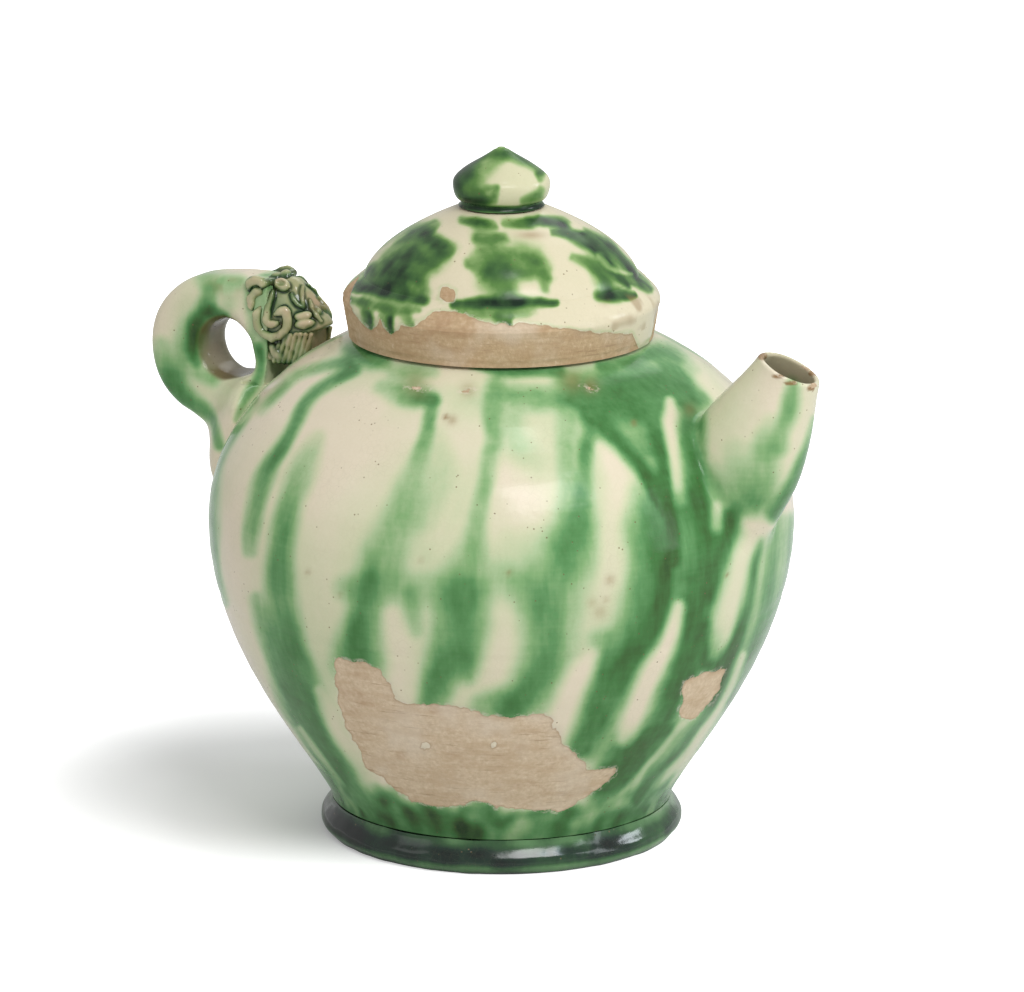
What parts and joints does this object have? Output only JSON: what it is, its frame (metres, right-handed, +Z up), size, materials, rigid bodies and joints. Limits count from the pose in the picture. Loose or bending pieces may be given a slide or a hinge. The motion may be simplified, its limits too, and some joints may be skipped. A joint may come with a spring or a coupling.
{
  "type": "covered pouring ewer",
  "caption": "Round-bodied glazed pottery ewer with a splayed foot, conical spout, looped handle rising from a moulded beast head, and a domed lift-off lid with a bud knob.",
  "frame": {"origin": "centre of the flat base, at the height of the surface it stands on", "axes": "+Z up along the vessel's axis, +X towards the spout, -X towards the handle"},
  "size_m": [0.1951, 0.1516, 0.18],
  "materials": {
    "body_glaze": "gloss green glaze splashed over cream",
    "foot_glaze": "gloss green glaze, pooled dark",
    "spout_glaze": "gloss cream glaze with green streaks",
    "handle_glaze": "gloss thin green glaze over cream",
    "head_glaze": "gloss olive green glaze, darker in the hollows",
    "lid_glaze": "gloss green glaze over cream, bare clay band",
    "bare_clay": "unglazed buff earthenware"
  },
  "bodies": {
    "ewer": {"splayed_foot": "foot_glaze", "vessel_body": "body_glaze", "mouth_collar": "bare_clay", "spout": "spout_glaze", "handle_loop": "handle_glaze", "handle_neck": "handle_glaze", "beast_head": "head_glaze", "mane_curl_right": "head_glaze", "mane_tongue_right": "head_glaze", "crest_curl_right": "head_glaze", "side_lock_right": "head_glaze", "jaw_lock_right": "head_glaze", "ear_right": "head_glaze", "brow_right": "head_glaze", "eye_right": "head_glaze", "lip_right": "head_glaze", "teeth_right": "head_glaze", "mane_curl_left": "head_glaze", "mane_tongue_left": "head_glaze", "crest_curl_left": "head_glaze", "side_lock_left": "head_glaze", "jaw_lock_left": "head_glaze", "ear_left": "head_glaze", "brow_left": "head_glaze", "eye_left": "head_glaze", "lip_left": "head_glaze", "teeth_left": "head_glaze", "topknot": "head_glaze"},
    "lid": {"lid_cap": "lid_glaze", "lid_knob": "lid_glaze"}
  },
  "joints": [
    {"name": "lid_lift", "type": "slide", "parent": "ewer", "child": "lid", "axis": [0, 0, 1], "range_m": [0, 0.06]}
  ]
}
